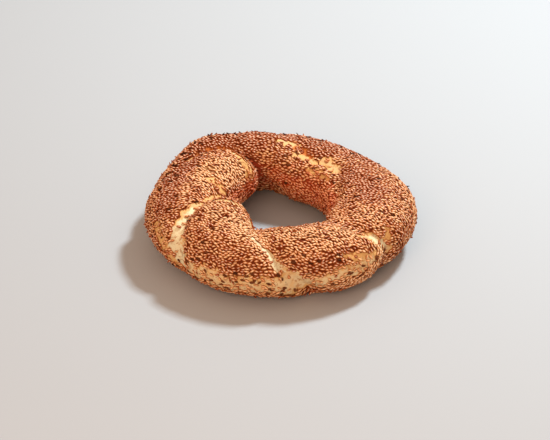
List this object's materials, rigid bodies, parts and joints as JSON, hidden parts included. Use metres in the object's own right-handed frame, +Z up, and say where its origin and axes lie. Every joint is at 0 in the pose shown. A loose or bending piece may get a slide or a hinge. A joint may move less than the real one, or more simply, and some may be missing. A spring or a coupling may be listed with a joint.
{
  "type": "simit bread ring",
  "caption": "Baked ring of twisted bread dough with an open centre, deep slanting folds and a flat underside, covered in toasted sesame seeds.",
  "frame": {"origin": "centre of the ring's bounding box at its base, on the table", "axes": "+Z up, +X along the ring's widest side, +Y away from the side with the deepest folds"},
  "size_m": [0.1462, 0.1356, 0.0378],
  "materials": {
    "crust": null,
    "sesame_toasted": "toasted sesame seed hulls, satin",
    "sesame_light": "lightly toasted sesame seed hulls, satin",
    "sesame_dark": "burnt sesame seed hulls, dull"
  },
  "bodies": {
    "root": {"simit_ring": "crust"}
  },
  "joints": []
}
